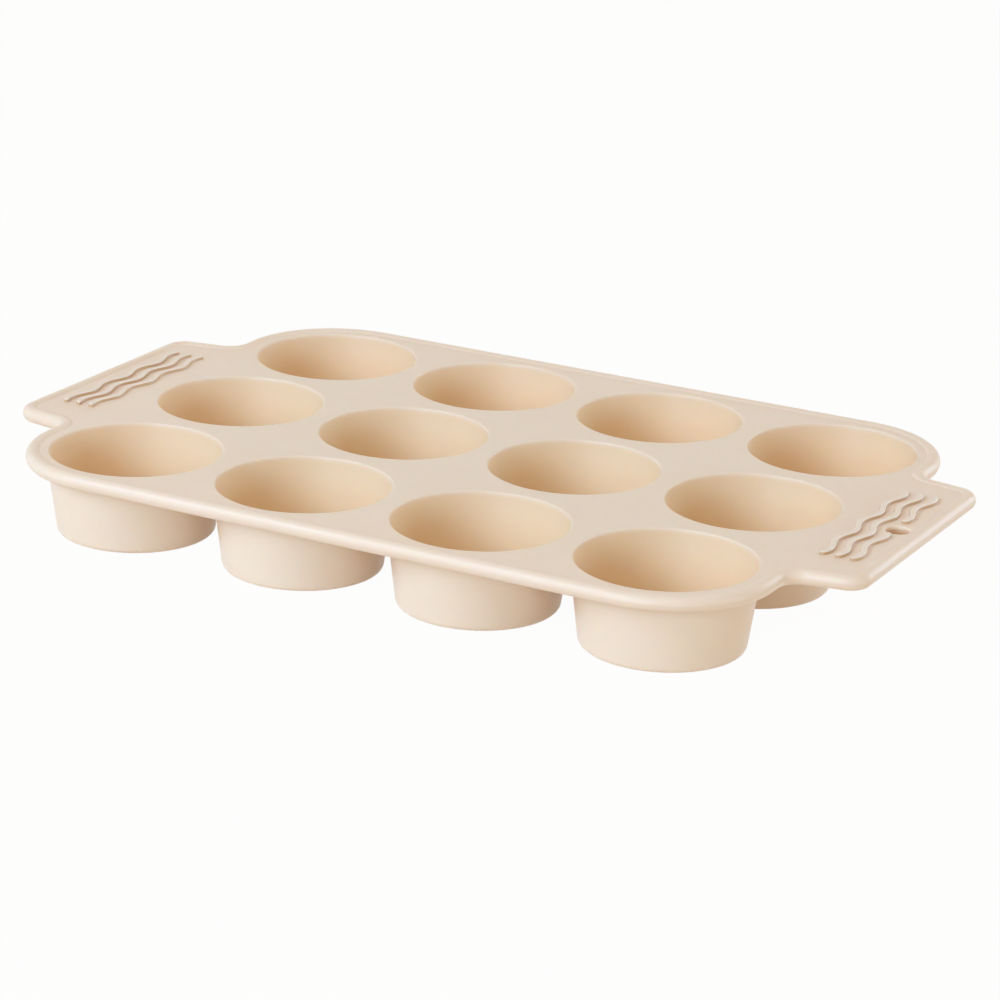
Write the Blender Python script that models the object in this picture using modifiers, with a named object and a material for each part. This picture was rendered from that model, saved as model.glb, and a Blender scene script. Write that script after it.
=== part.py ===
"""Muffin pan: one soft moulding of a tray and its cups, with a steel wire loop moulded into the rim."""

import math

import bmesh
import bpy
from mathutils import Vector

# Counts and names; every length below is in metres
CUP_COLUMNS = 4
CUP_ROWS = 3
CUP_STEPS = 32
ROW_NAMES = ("front", "middle", "back")

# Cup, turned about its own axis
CUP_MOUTH_RADIUS = 0.03566
CUP_SPACING = 0.00618
CUP_TAPER = 0.00438
CUP_DEPTH = 0.0331
CUP_WALL = 0.0014
CUP_FLOOR = 0.0016
LIP_FILLET = 0.0009
BASE_FILLET = 0.0023
INNER_FILLET = 0.0020

# Deck and handle tabs
DECK_THICKNESS = 0.0020
TAB_THICKNESS = 0.0038
TAB_SINK = 0.0009
TAB_OVERLAP = 0.0016
PLATE_INSET = 0.0020

# Rim bead, given by its centre line
BEAD_RADIUS = 0.00325
BEAD_DROP = 0.0023
BEAD_MARGIN = 0.00464
HANDLE_LENGTH = 0.02745
NECK_INSET = 0.0157
HANDLE_TAPER = 0.0048
HANDLE_CORNER_RADIUS = 0.0062
NECK_RADIUS = 0.0110
BEAD_SIDES = 10

# Wire loop and its channel in the bead
WIRE_RADIUS = 0.0015
CLEARANCE = 0.0003
WIRE_SIDES = 6
PIN_HOLE_RADIUS = 0.0012
PIN_HOLE_SIDES = 8
HANDLE_PIN_OFFSET = 0.0300

# Grip ribs on the handle tabs
RIBS_PER_HANDLE = 3
RIB_OUTER_INSET = 0.0092
RIB_SPACING = 0.00615
RIB_END_INSET = 0.0149
RIB_WAVE = 0.00135
RIB_PERIOD = 0.0242
RIB_RADIUS = 0.0011
RIB_CENTRE_HEIGHT = 0.00045
RIB_POINTS_PER_PERIOD = 7
RIB_SIDES = 6
RIB_GAP_HALF = 0.0073

# Hanging hole through the right tab
HOLE_INSET = 0.0079
HOLE_RADIUS = 0.0047
HOLE_FILLET = 0.0008
HOLE_FLARE_RISE = 0.0001
HOLE_STEPS = 24

# Segments that each rounded corner of the rim is drawn with
CORNER_SEGMENTS = 8
HANDLE_CORNER_SEGMENTS = 4
NECK_SEGMENTS = 5
FILLET_SEGMENTS = 2
RIB_END_SEGMENTS = 3

WELD = 0.000002
CUTTER_REACH = 0.0030
SHARP_ANGLE = math.radians(38)
HALF_SHARE = 0.5
QUARTER_TURN = math.pi / 2

CUP_BASE_RADIUS = CUP_MOUTH_RADIUS - CUP_TAPER
CUP_PITCH = 2 * CUP_MOUTH_RADIUS + CUP_SPACING
BEAD_REACH = CUP_MOUTH_RADIUS + BEAD_MARGIN
CUP_X = [(column - HALF_SHARE * (CUP_COLUMNS - 1)) * CUP_PITCH for column in range(CUP_COLUMNS)]
CUP_Y = [(row - HALF_SHARE * (CUP_ROWS - 1)) * CUP_PITCH for row in range(CUP_ROWS)]
BODY_HALF_X = CUP_X[-1] + BEAD_REACH
BODY_HALF_Y = CUP_Y[-1] + BEAD_REACH
HANDLE_END = BODY_HALF_X + HANDLE_LENGTH
NECK_HALF = CUP_Y[-1] - NECK_INSET
HANDLE_END_HALF = NECK_HALF - HANDLE_TAPER
RIB_HALF_LENGTH = HANDLE_END_HALF - RIB_END_INSET
BEAD_HEIGHT = CUP_DEPTH - BEAD_DROP


def clear_scene():
    """Removes every object that the startup scene holds."""
    for thing in list(bpy.data.objects):
        bpy.data.objects.remove(thing, do_unlink=True)


def new_collection(name, hidden):
    """Adds a collection for the nodes or for the cutters."""
    group = bpy.data.collections.new(name)
    bpy.context.scene.collection.children.link(group)
    group.hide_render = hidden
    return group


def plain_material(name, colour, metallic, roughness):
    """A Principled material with one colour."""
    material = bpy.data.materials.new(name)
    material.use_nodes = True
    shader = material.node_tree.nodes["Principled BSDF"]
    shader.inputs["Base Color"].default_value = (*colour, 1)
    shader.inputs["Metallic"].default_value = metallic
    shader.inputs["Roughness"].default_value = roughness
    return material


def silicone_material(name):
    """Warm beige matt silicone."""
    return plain_material(name + "_silicone", (0.76, 0.63, 0.51), 0, 0.48)


def steel_material(name):
    """Bare spring steel of the wire."""
    return plain_material(name + "_steel", (0.55, 0.56, 0.57), 1, 0.3)


def rounded_loop(corners, inset):
    """Closed outline through rounded corners, counter-clockwise, moved inwards by the inset.

    Each corner is (x, y, radius, segments). A corner that bends the other way is filleted on its open side.
    """
    points = []
    count = len(corners)
    for place, (x, y, radius, segments) in enumerate(corners):
        here = Vector((x, y))
        before = (Vector(corners[place - 1][:2]) - here).normalized()
        after = (Vector(corners[(place + 1) % count][:2]) - here).normalized()
        opening = before.angle(after)
        middle = (before + after).normalized()
        centre = here + middle * (radius / math.sin(opening * HALF_SHARE))
        side = 1 if before.cross(after) < 0 else -1
        start = here + before * (radius / math.tan(opening * HALF_SHARE)) - centre
        sweep = side * (math.pi - opening)
        first = math.atan2(start.y, start.x)
        for step in range(segments + 1):
            angle = first + sweep * step / segments
            reach = radius - side * inset
            points.append((centre.x + reach * math.cos(angle), centre.y + reach * math.sin(angle)))
    return points


def rim_outline(inset=0.0):
    """The rim's centre line in plan, round the body and both handles."""
    handle = (HANDLE_CORNER_RADIUS, HANDLE_CORNER_SEGMENTS)
    neck = (NECK_RADIUS, NECK_SEGMENTS)
    corner = (BEAD_REACH, CORNER_SEGMENTS)
    corners = [
        (HANDLE_END, -HANDLE_END_HALF, *handle),
        (HANDLE_END, HANDLE_END_HALF, *handle),
        (BODY_HALF_X, NECK_HALF, *neck),
        (BODY_HALF_X, BODY_HALF_Y, *corner),
        (-BODY_HALF_X, BODY_HALF_Y, *corner),
        (-BODY_HALF_X, NECK_HALF, *neck),
        (-HANDLE_END, HANDLE_END_HALF, *handle),
        (-HANDLE_END, -HANDLE_END_HALF, *handle),
        (-BODY_HALF_X, -NECK_HALF, *neck),
        (-BODY_HALF_X, -BODY_HALF_Y, *corner),
        (BODY_HALF_X, -BODY_HALF_Y, *corner),
        (BODY_HALF_X, -NECK_HALF, *neck),
    ]
    return rounded_loop(corners, inset)


def circle_points(x, y, radius, steps):
    """Points of a circle in plan."""
    turn = 4 * QUARTER_TURN / steps
    return [(x + radius * math.cos(turn * k), y + radius * math.sin(turn * k)) for k in range(steps)]


def add_spline(curve, points, height, closed, shares=None):
    """Adds one straight-sided spline; shares scale the tube's radius at each point."""
    spline = curve.splines.new("POLY")
    spline.points.add(len(points) - 1)
    for place, (x, y) in enumerate(points):
        spline.points[place].co = (x, y, height, 1)
        spline.points[place].radius = shares[place] if shares else 1
    spline.use_cyclic_u = closed


def curve_to_mesh(curve, name, group):
    """Turns a curve into a welded mesh object of the group."""
    holder = bpy.data.objects.new(name + "_curve", curve)
    group.objects.link(holder)
    bpy.context.view_layer.update()
    evaluated = holder.evaluated_get(bpy.context.evaluated_depsgraph_get())
    mesh = bpy.data.meshes.new_from_object(evaluated)
    mesh.name = name
    body = bmesh.new()
    body.from_mesh(mesh)
    bmesh.ops.remove_doubles(body, verts=body.verts, dist=WELD)
    bmesh.ops.recalc_face_normals(body, faces=body.faces)
    body.to_mesh(mesh)
    body.free()
    matrix = holder.matrix_world.copy()
    bpy.data.objects.remove(holder, do_unlink=True)
    bpy.data.curves.remove(curve)
    thing = bpy.data.objects.new(name, mesh)
    thing.matrix_world = matrix
    group.objects.link(thing)
    return thing


def plate(name, outlines, low, high, group):
    """Flat plate between two heights: the first outline is its edge, the others are holes."""
    curve = bpy.data.curves.new(name, "CURVE")
    curve.dimensions = "2D"
    curve.fill_mode = "BOTH"
    curve.extrude = (high - low) * HALF_SHARE
    for points in outlines:
        add_spline(curve, points, 0, True)
    thing = curve_to_mesh(curve, name, group)
    thing.location.z = (high + low) * HALF_SHARE
    return thing


def tube(name, runs, radius, sides, closed, group):
    """Round tube along each run; a run is (points, height, radius shares or nothing)."""
    curve = bpy.data.curves.new(name, "CURVE")
    curve.dimensions = "3D"
    curve.twist_mode = "Z_UP"
    curve.bevel_depth = radius
    curve.bevel_resolution = (sides - 4) // 2
    curve.use_fill_caps = not closed
    for points, height, shares in runs:
        add_spline(curve, points, height, closed, shares)
    return curve_to_mesh(curve, name, group)


def turned(name, profile, steps, place, group):
    """Solid turned about the Z axis of its own place, from a profile of (radius, height) points."""
    mesh = bpy.data.meshes.new(name)
    lines = [(k, k + 1) for k in range(len(profile) - 1)]
    mesh.from_pydata([(radius, 0, height) for radius, height in profile], lines, [])
    thing = bpy.data.objects.new(name, mesh)
    thing.location = place
    group.objects.link(thing)
    screw = thing.modifiers.new("Turn", "SCREW")
    screw.axis = "Z"
    screw.steps = steps
    screw.render_steps = steps
    screw.use_merge_vertices = True
    screw.merge_threshold = WELD
    screw.use_smooth_shade = True
    return thing


def arc(centre_r, centre_z, radius, first, last, segments):
    """Points of an arc in a profile, between two angles counted from +X towards +Z."""
    angles = [first + (last - first) * k / segments for k in range(segments + 1)]
    return [(centre_r + radius * math.cos(a), centre_z + radius * math.sin(a)) for a in angles]


def cup_profile():
    """Section of one cup: in from the outer base, up the wall, over the lip and down to the inner floor."""
    lean = math.atan2(CUP_MOUTH_RADIUS - CUP_BASE_RADIUS, CUP_DEPTH)
    share = math.tan((QUARTER_TURN - lean) * HALF_SHARE)
    outer_base = arc(
        CUP_BASE_RADIUS + BASE_FILLET * (math.tan(lean) - 1 / math.cos(lean)),
        BASE_FILLET,
        BASE_FILLET,
        -lean,
        -QUARTER_TURN,
        FILLET_SEGMENTS,
    )
    wall_across = CUP_WALL / math.cos(lean)
    inner_mouth = CUP_MOUTH_RADIUS - wall_across
    lip = arc(
        inner_mouth + LIP_FILLET * share * math.tan(lean) + LIP_FILLET * (1 - math.tan(lean)),
        CUP_DEPTH - LIP_FILLET,
        LIP_FILLET,
        QUARTER_TURN,
        2 * QUARTER_TURN - lean,
        FILLET_SEGMENTS,
    )
    floor_radius = CUP_BASE_RADIUS - wall_across + CUP_FLOOR * math.tan(lean)
    inner_base = arc(
        floor_radius + INNER_FILLET * (math.tan(lean) - 1 / math.cos(lean)),
        CUP_FLOOR + INNER_FILLET,
        INNER_FILLET,
        -lean,
        -QUARTER_TURN,
        FILLET_SEGMENTS,
    )
    inside = [(0, CUP_FLOOR)] + inner_base[::-1]
    outside = [(CUP_MOUTH_RADIUS, CUP_DEPTH)] + outer_base + [(0, 0)]
    return inside + lip[::-1] + outside


def build_cup(name, x, y, group):
    """One cup, standing on the row frame's floor."""
    cup = turned(name, cup_profile(), CUP_STEPS, (x, y, 0), group)
    cup.data.materials.append(silicone_material(name))
    return cup


def tab_outline(side):
    """Outline of the thicker tab inside one handle's rim."""
    start = BODY_HALF_X - TAB_OVERLAP
    points = [(x, y) for x, y in rim_outline(PLATE_INSET) if side * x > start]
    upper = sorted((p for p in points if p[1] > 0), key=lambda p: side * p[0])
    lower = sorted((p for p in points if p[1] < 0), key=lambda p: -side * p[0])
    top_start = (side * start, upper[0][1])
    low_start = (side * start, lower[-1][1])
    return [top_start] + upper + lower + [low_start]


def rib_points(x, side, low, high):
    """One wavy rib between two Y values, with points packed at its ends so that they round off."""
    count = max(4, round(RIB_POINTS_PER_PERIOD * (high - low) / RIB_PERIOD))
    angles = [QUARTER_TURN * k / RIB_END_SEGMENTS for k in range(1, RIB_END_SEGMENTS)]
    heel = [RIB_RADIUS * (1 - math.cos(a)) for a in angles]
    shares = [math.sin(a) for a in angles]
    inner_low = low + RIB_RADIUS
    inner_high = high - RIB_RADIUS
    middle = [inner_low + (inner_high - inner_low) * k / count for k in range(count + 1)]
    ys = [low + h for h in heel] + middle + [high - h for h in heel[::-1]]
    all_shares = shares + [1] * len(middle) + shares[::-1]
    turn = 4 * QUARTER_TURN / RIB_PERIOD
    points = [(side * (x - RIB_WAVE * math.cos(turn * y)), y) for y in ys]
    return points, all_shares


def rib_runs():
    """Every rib of both handles; the outer one on the right stops either side of the hanging hole."""
    runs = []
    height = CUP_DEPTH + RIB_CENTRE_HEIGHT
    for side in (-1, 1):
        for place in range(RIBS_PER_HANDLE):
            x = HANDLE_END - RIB_OUTER_INSET - place * RIB_SPACING
            spans = [(-RIB_HALF_LENGTH, RIB_HALF_LENGTH)]
            if side > 0 and place == 0:
                spans = [(-RIB_HALF_LENGTH, -RIB_GAP_HALF), (RIB_GAP_HALF, RIB_HALF_LENGTH)]
            for low, high in spans:
                points, shares = rib_points(x, side, low, high)
                runs.append((points, height, shares))
    return runs


def hole_profile():
    """Section of the hanging hole's cutter, flared at both faces of the tab."""
    top = CUP_DEPTH + HOLE_FLARE_RISE
    low = CUP_DEPTH - TAB_THICKNESS - HOLE_FLARE_RISE
    flare = HOLE_RADIUS + HOLE_FILLET
    upper = arc(flare, top - HOLE_FILLET, HOLE_FILLET, QUARTER_TURN, 2 * QUARTER_TURN, FILLET_SEGMENTS)
    lower = arc(flare, low + HOLE_FILLET, HOLE_FILLET, 2 * QUARTER_TURN, 3 * QUARTER_TURN, FILLET_SEGMENTS)
    ends = [(0, top + CUTTER_REACH), (flare, top + CUTTER_REACH)]
    return ends + upper + lower + [(flare, low - CUTTER_REACH), (0, low - CUTTER_REACH)]


def pin_places():
    """Where the mould's support pins leave holes under the rim."""
    long_sides = [(x, side * BODY_HALF_Y) for side in (-1, 1) for x in (CUP_X[0], 0, CUP_X[-1])]
    ends = [(side * HANDLE_END, way * HANDLE_PIN_OFFSET) for side in (-1, 1) for way in (-1, 1)]
    return long_sides + ends


def pin_cutter(group):
    """All support-pin holes as one cutter, from the middle of the channel down past the bead."""
    outlines = [circle_points(x, y, PIN_HOLE_RADIUS, PIN_HOLE_SIDES) for x, y in pin_places()]
    low = BEAD_HEIGHT - BEAD_RADIUS - CUTTER_REACH
    return plate("pin_cutter", outlines, low, BEAD_HEIGHT, group)


def combine(target, other, operation, label):
    """Adds an exact Boolean, and hides the other object."""
    step = target.modifiers.new(label, "BOOLEAN")
    step.operation = operation
    step.solver = "EXACT"
    step.object = other
    other.hide_render = True
    other.display_type = "WIRE"


def build_tray(group, cutters):
    """Deck, handle tabs, rim bead and grip ribs, with the channel and the hanging hole cut."""
    hole_radius = CUP_MOUTH_RADIUS + CLEARANCE
    holes = [circle_points(x, y, hole_radius, CUP_STEPS) for x in CUP_X for y in CUP_Y]
    deck_low = CUP_DEPTH - DECK_THICKNESS
    tray = plate("tray", [rim_outline(PLATE_INSET)] + holes, deck_low, CUP_DEPTH, group)
    tab_low = CUP_DEPTH - TAB_THICKNESS
    for side, word in ((-1, "left"), (1, "right")):
        tab = plate("tab_" + word, [tab_outline(side)], tab_low, CUP_DEPTH - TAB_SINK, cutters)
        combine(tray, tab, "UNION", "Tab " + word)
    bead = tube("bead", [(rim_outline(), BEAD_HEIGHT, None)], BEAD_RADIUS, BEAD_SIDES, True, cutters)
    combine(tray, bead, "UNION", "Rim bead")
    ribs = tube("ribs", rib_runs(), RIB_RADIUS, RIB_SIDES, False, cutters)
    combine(tray, ribs, "UNION", "Grip ribs")
    channel_radius = WIRE_RADIUS + CLEARANCE
    channel = tube("channel", [(rim_outline(), BEAD_HEIGHT, None)], channel_radius, WIRE_SIDES, True, cutters)
    combine(tray, channel, "DIFFERENCE", "Wire channel")
    combine(tray, pin_cutter(cutters), "DIFFERENCE", "Pin holes")
    hole = turned("hole_cutter", hole_profile(), HOLE_STEPS, (HANDLE_END - HOLE_INSET, 0, 0), cutters)
    combine(tray, hole, "DIFFERENCE", "Hanging hole")
    tray.data.materials.append(silicone_material("tray"))
    return tray


def build_wire(group):
    """Closed steel loop that lies along the middle of the rim bead."""
    wire = tube("rim_wire", [(rim_outline(), BEAD_HEIGHT, None)], WIRE_RADIUS, WIRE_SIDES, True, group)
    wire.data.materials.append(steel_material("rim_wire"))
    return wire


def smooth(thing):
    """Smooth shading with sharp edges kept."""
    thing.data.shade_smooth()
    thing.data.set_sharp_from_angle(angle=SHARP_ANGLE)


def main():
    """Builds the pan."""
    clear_scene()
    nodes = new_collection("muffin_pan", False)
    cutters = new_collection("cutters", True)
    smooth(build_tray(nodes, cutters))
    for row, y in enumerate(CUP_Y):
        for column, x in enumerate(CUP_X):
            build_cup("cup_{}_{}".format(ROW_NAMES[row], column + 1), x, y, nodes)
    smooth(build_wire(nodes))


main()
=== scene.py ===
"""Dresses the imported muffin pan: one soft silicone moulding round a steel rim wire, on a pale floor."""

import logging
import math
from collections.abc import Callable
from dataclasses import dataclass
from enum import Enum
from functools import reduce
from typing import Any

import bmesh
import bpy
import numpy as np
from mathutils import Matrix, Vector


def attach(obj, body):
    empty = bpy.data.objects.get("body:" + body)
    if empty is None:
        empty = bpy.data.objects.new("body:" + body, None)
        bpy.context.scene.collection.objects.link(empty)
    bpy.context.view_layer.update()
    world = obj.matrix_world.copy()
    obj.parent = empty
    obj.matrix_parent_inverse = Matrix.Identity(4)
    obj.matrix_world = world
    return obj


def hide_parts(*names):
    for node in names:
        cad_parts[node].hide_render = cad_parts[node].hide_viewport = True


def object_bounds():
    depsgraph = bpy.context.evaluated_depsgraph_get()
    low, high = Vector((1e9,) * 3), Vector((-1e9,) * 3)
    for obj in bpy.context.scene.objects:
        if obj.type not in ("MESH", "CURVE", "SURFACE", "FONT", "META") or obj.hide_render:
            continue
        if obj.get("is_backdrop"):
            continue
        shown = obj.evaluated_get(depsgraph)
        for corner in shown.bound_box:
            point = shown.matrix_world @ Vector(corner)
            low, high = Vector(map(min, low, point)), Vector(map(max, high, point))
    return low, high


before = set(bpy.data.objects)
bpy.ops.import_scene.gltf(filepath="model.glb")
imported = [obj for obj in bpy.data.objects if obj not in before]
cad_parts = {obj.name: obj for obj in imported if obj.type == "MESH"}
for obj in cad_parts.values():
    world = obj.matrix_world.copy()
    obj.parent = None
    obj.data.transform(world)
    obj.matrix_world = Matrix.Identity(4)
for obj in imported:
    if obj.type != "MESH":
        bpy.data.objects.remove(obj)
CAD_LOW, CAD_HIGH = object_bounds()

LOG = logging.getLogger("muffin_pan")
MM = 0.001
WHITE = (1.0, 1.0, 1.0, 1.0)
# How near two points are that should be one, and the places of a metre to which rows are compared.
TOUCH = 0.001 * MM
DECIMALS = 9

Value = np.ndarray | float
Colour = tuple[float, float, float, float]
Many = tuple[float, ...]


class Side(Enum):
    """The two faces of the moulding."""

    TOP = "top"
    UNDER = "under"


class End(Enum):
    """The two short ends of the pan, by the sign of their X."""

    LEFT = -1.0
    RIGHT = 1.0


def mm(*values: float) -> Many:
    """Lengths given in millimetres, in metres."""
    return tuple(value * MM for value in values)


def smoothstep(share: Value) -> np.ndarray:
    """Soft ramp from 0 to 1: s * s * (3 - 2 s), with s held between 0 and 1."""
    held = np.clip(share, 0.0, 1.0)
    return held * held * (3.0 - 2.0 * held)


def blend(first: Value, last: Value, share: Value | Many) -> np.ndarray:
    """Straight mix of two values: first + (last - first) * share."""
    return np.asarray(first + (np.asarray(last) - first) * np.asarray(share))


def both_ways(half: np.ndarray) -> np.ndarray:
    """A line of values from 0 up, with its mirror image before it."""
    return np.concatenate([-half[:0:-1], half])


def rays(angle: np.ndarray) -> np.ndarray:
    """Unit vectors (cos a, sin a) as (n, 2)."""
    return np.stack([np.cos(angle), np.sin(angle)], axis=1)


def arc(centre: tuple[float, float], radius: float, first: float, last: float, steps: int) -> np.ndarray:
    """Arc of equal steps between two angles in radians, as (n, 2): centre + radius * (cos a, sin a)."""
    return np.array(centre) + radius * rays(np.linspace(first, last, steps + 1))


def bezier(start: np.ndarray, control: np.ndarray, stop: np.ndarray, steps: int) -> np.ndarray:
    """Quadratic Bezier arcs, as (steps + 1, arcs): (1-t)^2 start + 2 t (1-t) control + t^2 stop."""
    t = np.linspace(0.0, 1.0, steps + 1)[:, None]
    return (1 - t) ** 2 * start + 2 * t * (1 - t) * control + t**2 * stop


def add_object(name: str, data: bpy.types.ID, axes: list[np.ndarray] | None = None) -> bpy.types.Object:
    """Puts a new object into the scene.

    Args:
        name: Its name.
        data: Its mesh, light or camera.
        axes: Its X, Y and Z axes and its place, or nothing for the origin.

    Returns:
        The object.
    """
    thing = bpy.data.objects.new(name, data)
    bpy.context.scene.collection.objects.link(thing)
    if axes is not None:
        pose = np.eye(4)
        pose[:3] = np.stack(axes, axis=1)
        thing.matrix_world = Matrix(pose.tolist())
    return thing


class Shell:
    """Collects patches of surface and welds them into one closed mesh."""

    def __init__(self) -> None:
        """Starts empty."""
        self._points: list[np.ndarray] = []
        self._faces: list[list[int]] = []

    def _take(self, points: np.ndarray, faces: list[list[int]]) -> None:
        """Adds one patch.

        Args:
            points: Its points as (n, 3).
            faces: Its faces, which count from its first point.
        """
        start = sum(map(len, self._points))
        self._points.append(points)
        self._faces.extend([[start + corner for corner in face] for face in faces])

    def add_grid(self, grid: np.ndarray, closed: bool = False, keep: np.ndarray | None = None) -> None:
        """Adds a grid of quads.

        Args:
            grid: Points as (rows, columns, 3).
            closed: Whether the last column joins the first.
            keep: Which quads are wanted, as (rows - 1, column steps), or nothing for all of them.
        """
        rows, columns = grid.shape[:2]
        index = np.arange(rows * columns).reshape(rows, columns)
        if closed:
            index = np.concatenate([index, index[:, :1]], axis=1)
        quads = np.stack([index[:-1, :-1], index[:-1, 1:], index[1:, 1:], index[1:, :-1]], axis=-1)
        wanted = quads[keep] if keep is not None else quads.reshape(-1, 4)
        self._take(grid.reshape(-1, 3), wanted.tolist())

    def add_zip(self, coarse: np.ndarray, fine: np.ndarray, marks: np.ndarray) -> None:
        """Joins a coarse edge to a fine one with flat faces of many corners.

        Args:
            coarse: Points of the coarse edge as (n, 3).
            fine: Points of the fine edge as (m, 3).
            marks: For each coarse point, the number of the fine point that it faces.
        """
        count = len(coarse)
        faces = [
            [step, step + 1] + [count + place for place in range(marks[step + 1], marks[step] - 1, -1)]
            for step in range(count - 1)
        ]
        self._take(np.concatenate([coarse, fine]), faces)

    def to_object(self, name: str, weld: float = 2 * TOUCH) -> bpy.types.Object:
        """Welds the patches, turns every face outwards and makes the object.

        Args:
            name: Name of the new piece.
            weld: Distance under which points are one.

        Returns:
            The new object, with smooth faces, at the origin.
        """
        mesh = bpy.data.meshes.new(name)
        mesh.from_pydata(np.concatenate(self._points).tolist(), [], self._faces)
        work = bmesh.new()
        work.from_mesh(mesh)
        bmesh.ops.remove_doubles(work, verts=work.verts, dist=weld)
        bmesh.ops.recalc_face_normals(work, faces=work.faces)
        loose = [vert for vert in work.verts if not vert.link_faces]
        bmesh.ops.delete(work, geom=loose, context="VERTS")
        open_edges = sum(1 for edge in work.edges if len(edge.link_faces) != 2)
        work.to_mesh(mesh)
        work.free()
        mesh.shade_smooth()
        LOG.info("%s: %d faces, %d open edges", name, len(mesh.polygons), open_edges)
        return add_object(name, mesh)


@dataclass(frozen=True)
class Deck:
    """Sizes that every part of the moulding shares; a pair is for the body and for a tab."""

    columns: int = 4
    rows: int = 3
    pitch: float = 77.5 * MM
    top: float = 33.1 * MM
    thickness: Many = mm(2.0, 3.8)
    reach: float = 40.3 * MM
    side_steps: int = 24

    @property
    def half(self) -> float:
        """Half a pitch."""
        return self.pitch / 2

    @property
    def last_x(self) -> float:
        """X of the last column of cups."""
        return (self.columns - 1) * self.half

    @property
    def last_y(self) -> float:
        """Y of the back row of cups."""
        return (self.rows - 1) * self.half

    @property
    def body_x(self) -> float:
        """X of the bead's centre line at the body's end."""
        return self.last_x + self.reach

    @property
    def turn(self) -> float:
        """Angle between neighbouring points round a cup."""
        return math.pi / 2 / self.side_steps

    def low(self, tab_share: Value) -> np.ndarray:
        """Height of the underside, from 0 on the body to 1 on a tab."""
        return self.top - blend(*self.thickness, tab_share)

    def tangents(self) -> np.ndarray:
        """Tangents of the equal turns along half a tile side, from 0 to 1."""
        return np.tan(np.linspace(0.0, math.pi / 4, self.side_steps // 2 + 1))


@dataclass(frozen=True)
class Bead:
    """Round bead along the whole rim: a circle that grows out of the deck through a fillet at each side.

    A pair of sizes is for the body and for a tab, and turns are in degrees. The top fillet meets the circle
    at top_meet inside its centre. The lower fillet takes low_turn off the circle and ends low_fillet past it.
    """

    deck: Deck = Deck()
    radius: float = 3.235 * MM
    drop: float = 2.3 * MM
    top_meet: Many = mm(2.15, 2.2)
    low_fillet: Many = mm(0.40, 0.10)
    low_turn: Many = (9.0, 2.5)
    parting_turns: Many = (-2.5, -6.0)
    parting_step: float = 0.05 * MM
    fillet_steps: int = 4
    upper_steps: int = 8
    lower_steps: int = 11

    @property
    def centre(self) -> float:
        """Height of the bead's centre line."""
        return self.deck.top - self.drop

    def _top_fillet(self, tab_share: Value) -> tuple[np.ndarray, ...]:
        """The fillet from the deck up to the bead.

        It ends on the circle, its control lies where the circle's tangent there meets the deck, and it starts
        as far from the control as it ends.

        Args:
            tab_share: 0 on the body and 1 on a tab.

        Returns:
            Reach of its start, control and end, and the height of its end.
        """
        stop = -blend(*self.top_meet, tab_share)
        rise = np.sqrt(self.radius**2 - stop**2)
        height = self.centre + rise
        control = stop - (height - self.deck.top) * rise / -stop
        start = control - np.hypot(stop - control, height - self.deck.top)
        return start, control, stop, height

    def inset(self, side: Side, tab_share: Value) -> np.ndarray:
        """How far inside the bead's centre line the crease between bead and deck runs.

        Args:
            side: Which face of the moulding.
            tab_share: 0 on the body and 1 on a tab.

        Returns:
            The distance.
        """
        if side is Side.TOP:
            return -self._top_fillet(tab_share)[0]
        offset = self.deck.low(tab_share) - self.centre
        return np.sqrt(self.radius**2 - offset**2) + blend(*self.low_fillet, tab_share)

    def section(self, tab_share: np.ndarray) -> tuple[np.ndarray, np.ndarray]:
        """Section of the bead at each point of its path, from the top crease out and round to the underside.

        The top fillet is a Bezier arc, the bead two runs of its circle that meet at the mould's parting line,
        and the underside's fillet a Bezier arc again. Under the line the circle is a step smaller, and the
        step fades out along the middle half of the lower run.

        Args:
            tab_share: 0 on the body and 1 on a tab, for each point of the path.

        Returns:
            Reach outwards from the centre line, and height, each as (section points, path points).
        """
        start, control, stop, height = self._top_fillet(tab_share)
        flat = np.full_like(tab_share, self.deck.top)
        top_reach = bezier(start, control, stop, self.fillet_steps)
        top_height = bezier(flat, flat, height, self.fillet_steps)
        begin = np.arctan2(height - self.centre, stop)
        upper = begin * np.linspace(1.0, 0.0, self.upper_steps + 1)[1:, None]
        low = self.deck.low(tab_share)
        meet = -math.pi - np.arcsin((low - self.centre) / self.radius)
        finish = meet + np.radians(blend(*self.low_turn, tab_share))
        line = np.radians(np.array(self.parting_turns))[:, None] + 0 * finish
        spread = np.linspace(0.0, 1.0, self.lower_steps + 1)[1:, None]
        lower = line[-1] + (finish - line[-1]) * spread
        angle = np.concatenate([upper, line, lower])
        at_line = np.array([[0.0], [1.0]]) + 0 * finish
        step = np.concatenate([0 * upper, at_line, 1.0 - smoothstep(spread * 2 - 0.5) + 0 * finish])
        radius = self.radius - self.parting_step * step
        round_reach = radius * np.cos(angle)
        round_height = self.centre + radius * np.sin(angle)
        corner = -np.sqrt(self.radius**2 - (low - self.centre) ** 2)
        low_reach = bezier(round_reach[-1], corner, -self.inset(Side.UNDER, tab_share), self.fillet_steps)[1:]
        low_height = bezier(round_height[-1], low, low, self.fillet_steps)[1:]
        reach = np.concatenate([top_reach, round_reach, low_reach])
        return reach, np.concatenate([top_height, round_height, low_height])


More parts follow.
